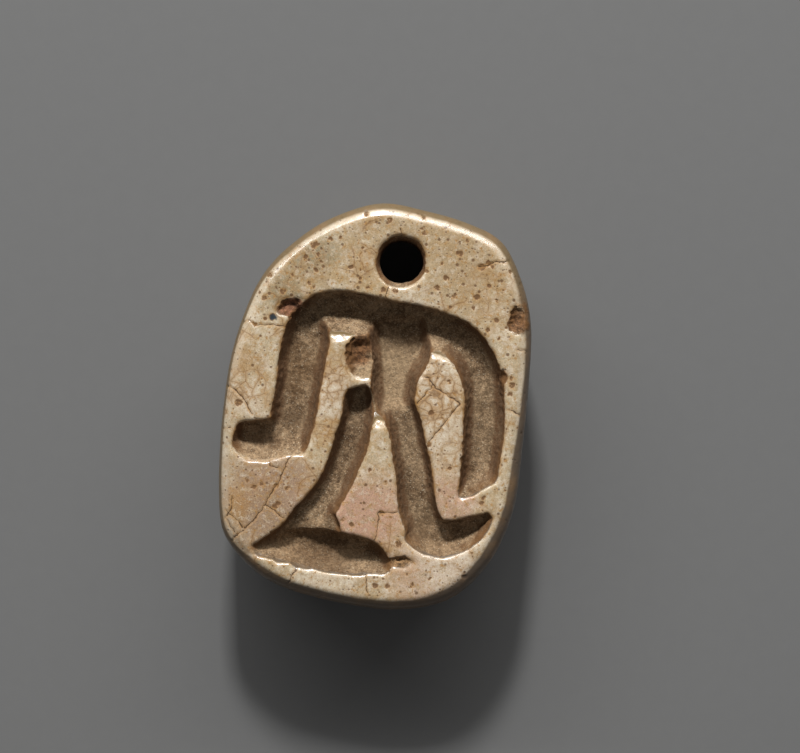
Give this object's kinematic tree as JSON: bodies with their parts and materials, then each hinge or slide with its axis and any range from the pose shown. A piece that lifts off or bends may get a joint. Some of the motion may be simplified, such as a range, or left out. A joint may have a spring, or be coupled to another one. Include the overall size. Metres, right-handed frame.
{
  "type": "seal amulet",
  "caption": "Oval plaque seal amulet of glazed stone, pierced near one end, with a striding headless figure cut deep into its flat face.",
  "frame": {"origin": "middle of the outline's box, on the flat back face that the amulet lies on", "axes": "+Y up the figure towards the pierced end, +Z out of the carved face, +X to the right of someone who looks at the carved face"},
  "size_m": [0.012, 0.016, 0.0048],
  "materials": {
    "glazed_steatite": "worn cream glaze, crazed, stained and pitted, over a soft brown stone that shows bare and granular in the cuts"
  },
  "bodies": {
    "root": {"seal_amulet": "glazed_steatite"}
  },
  "joints": []
}
